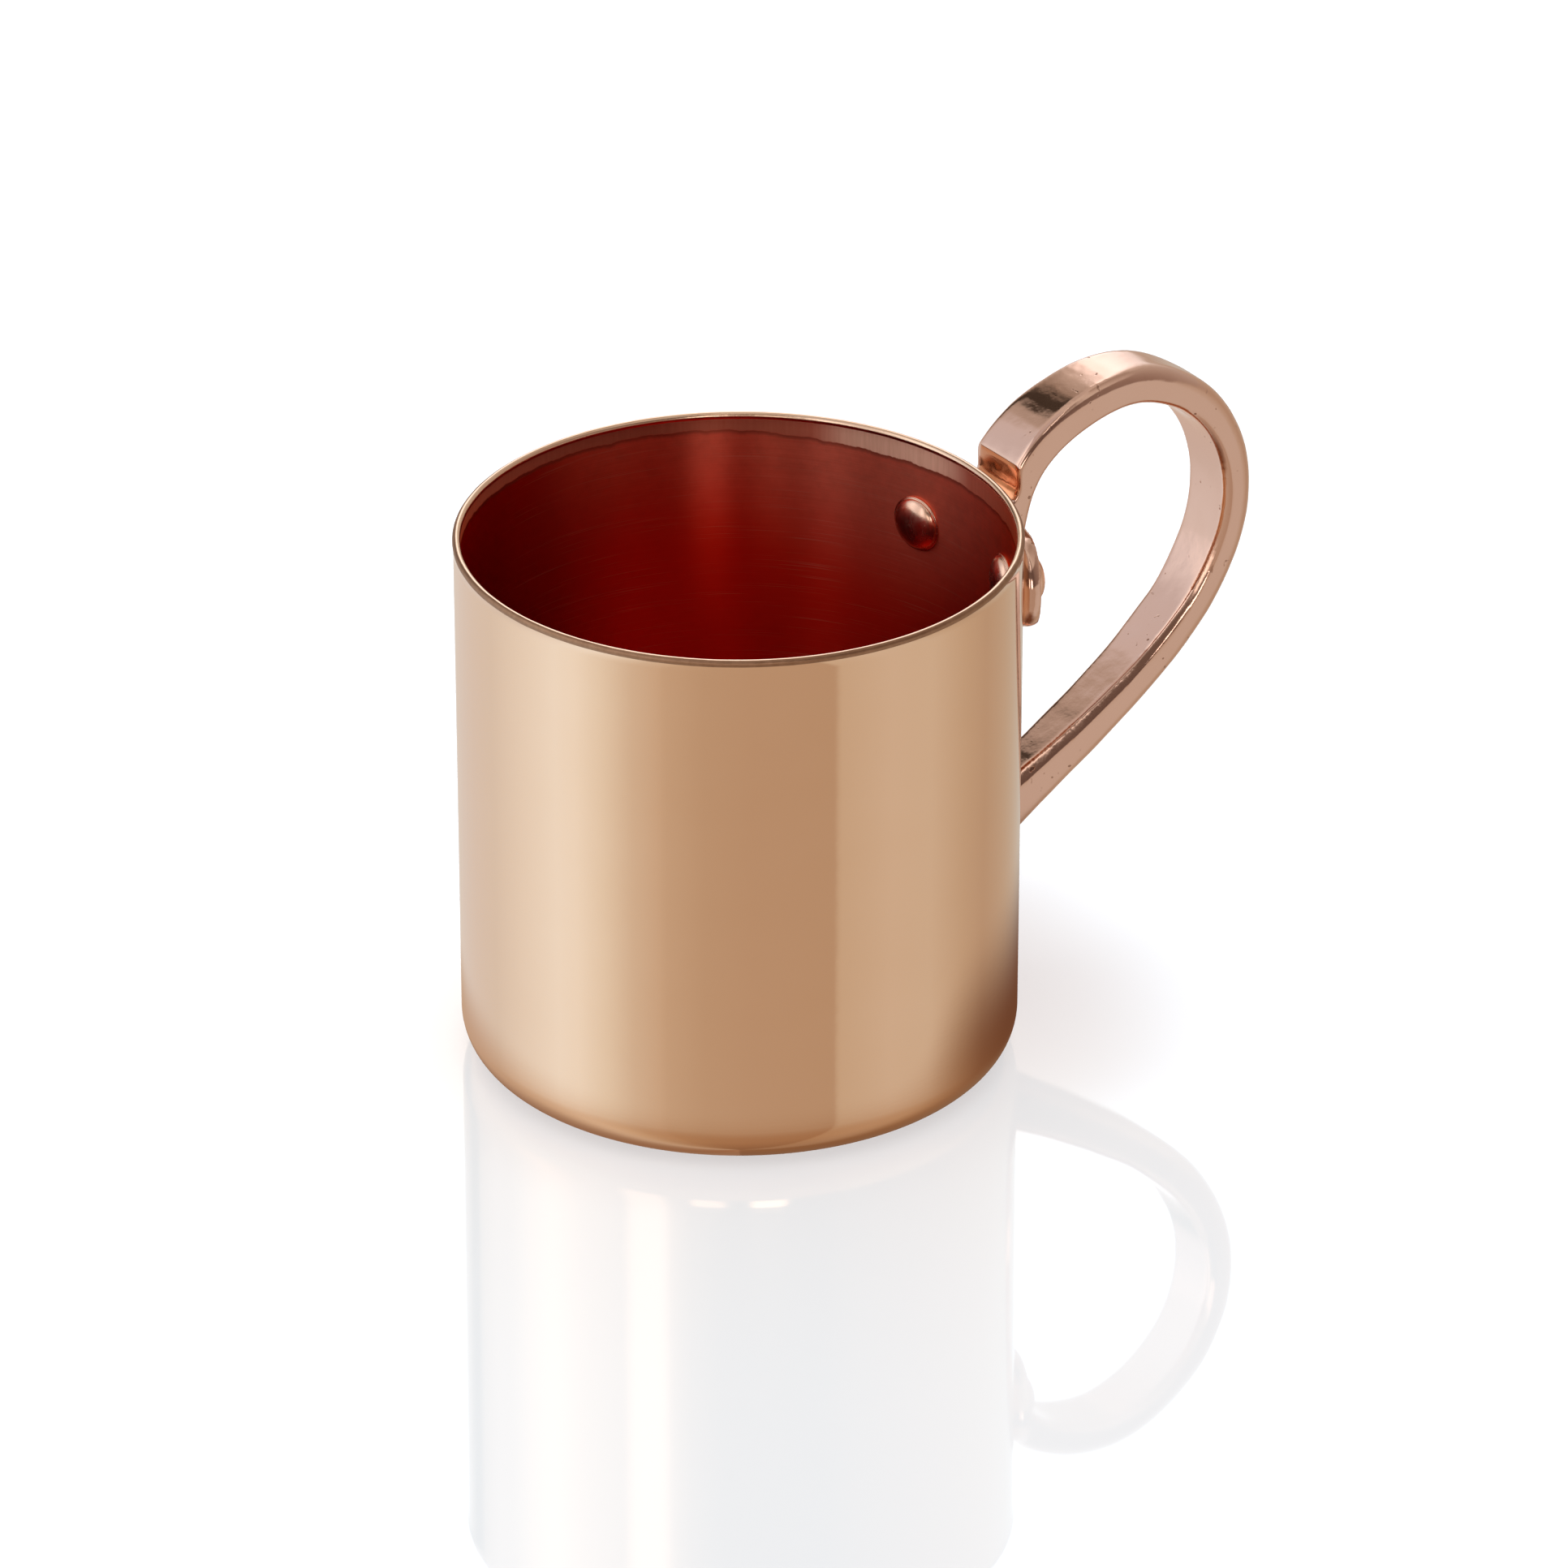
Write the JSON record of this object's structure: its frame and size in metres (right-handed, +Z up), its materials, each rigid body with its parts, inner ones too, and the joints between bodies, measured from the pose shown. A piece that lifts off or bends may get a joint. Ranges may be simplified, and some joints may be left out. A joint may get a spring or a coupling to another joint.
{
  "type": "mug",
  "caption": "Copper drinking mug: a spun metal cup with a cast question-mark handle riveted through its wall.",
  "frame": {"origin": "centre of the base, on the surface that the mug stands on", "axes": "+Z up along the cup's axis, +X towards the handle, +Y to the left of the handle seen from outside"},
  "size_m": [0.1373, 0.0862, 0.096],
  "materials": {
    "copper_sheet": "satin polished copper sheet, lacquered",
    "plated_casting": "glossy copper-plated casting with a light orange peel and small pits",
    "copper_rivet": "set copper rivet heads, a little hammered"
  },
  "bodies": {
    "root": {"cup_body": "copper_sheet", "handle": "plated_casting", "rivet_upper_left": "copper_rivet", "rivet_upper_right": "copper_rivet", "rivet_lower": "copper_rivet"}
  },
  "joints": []
}
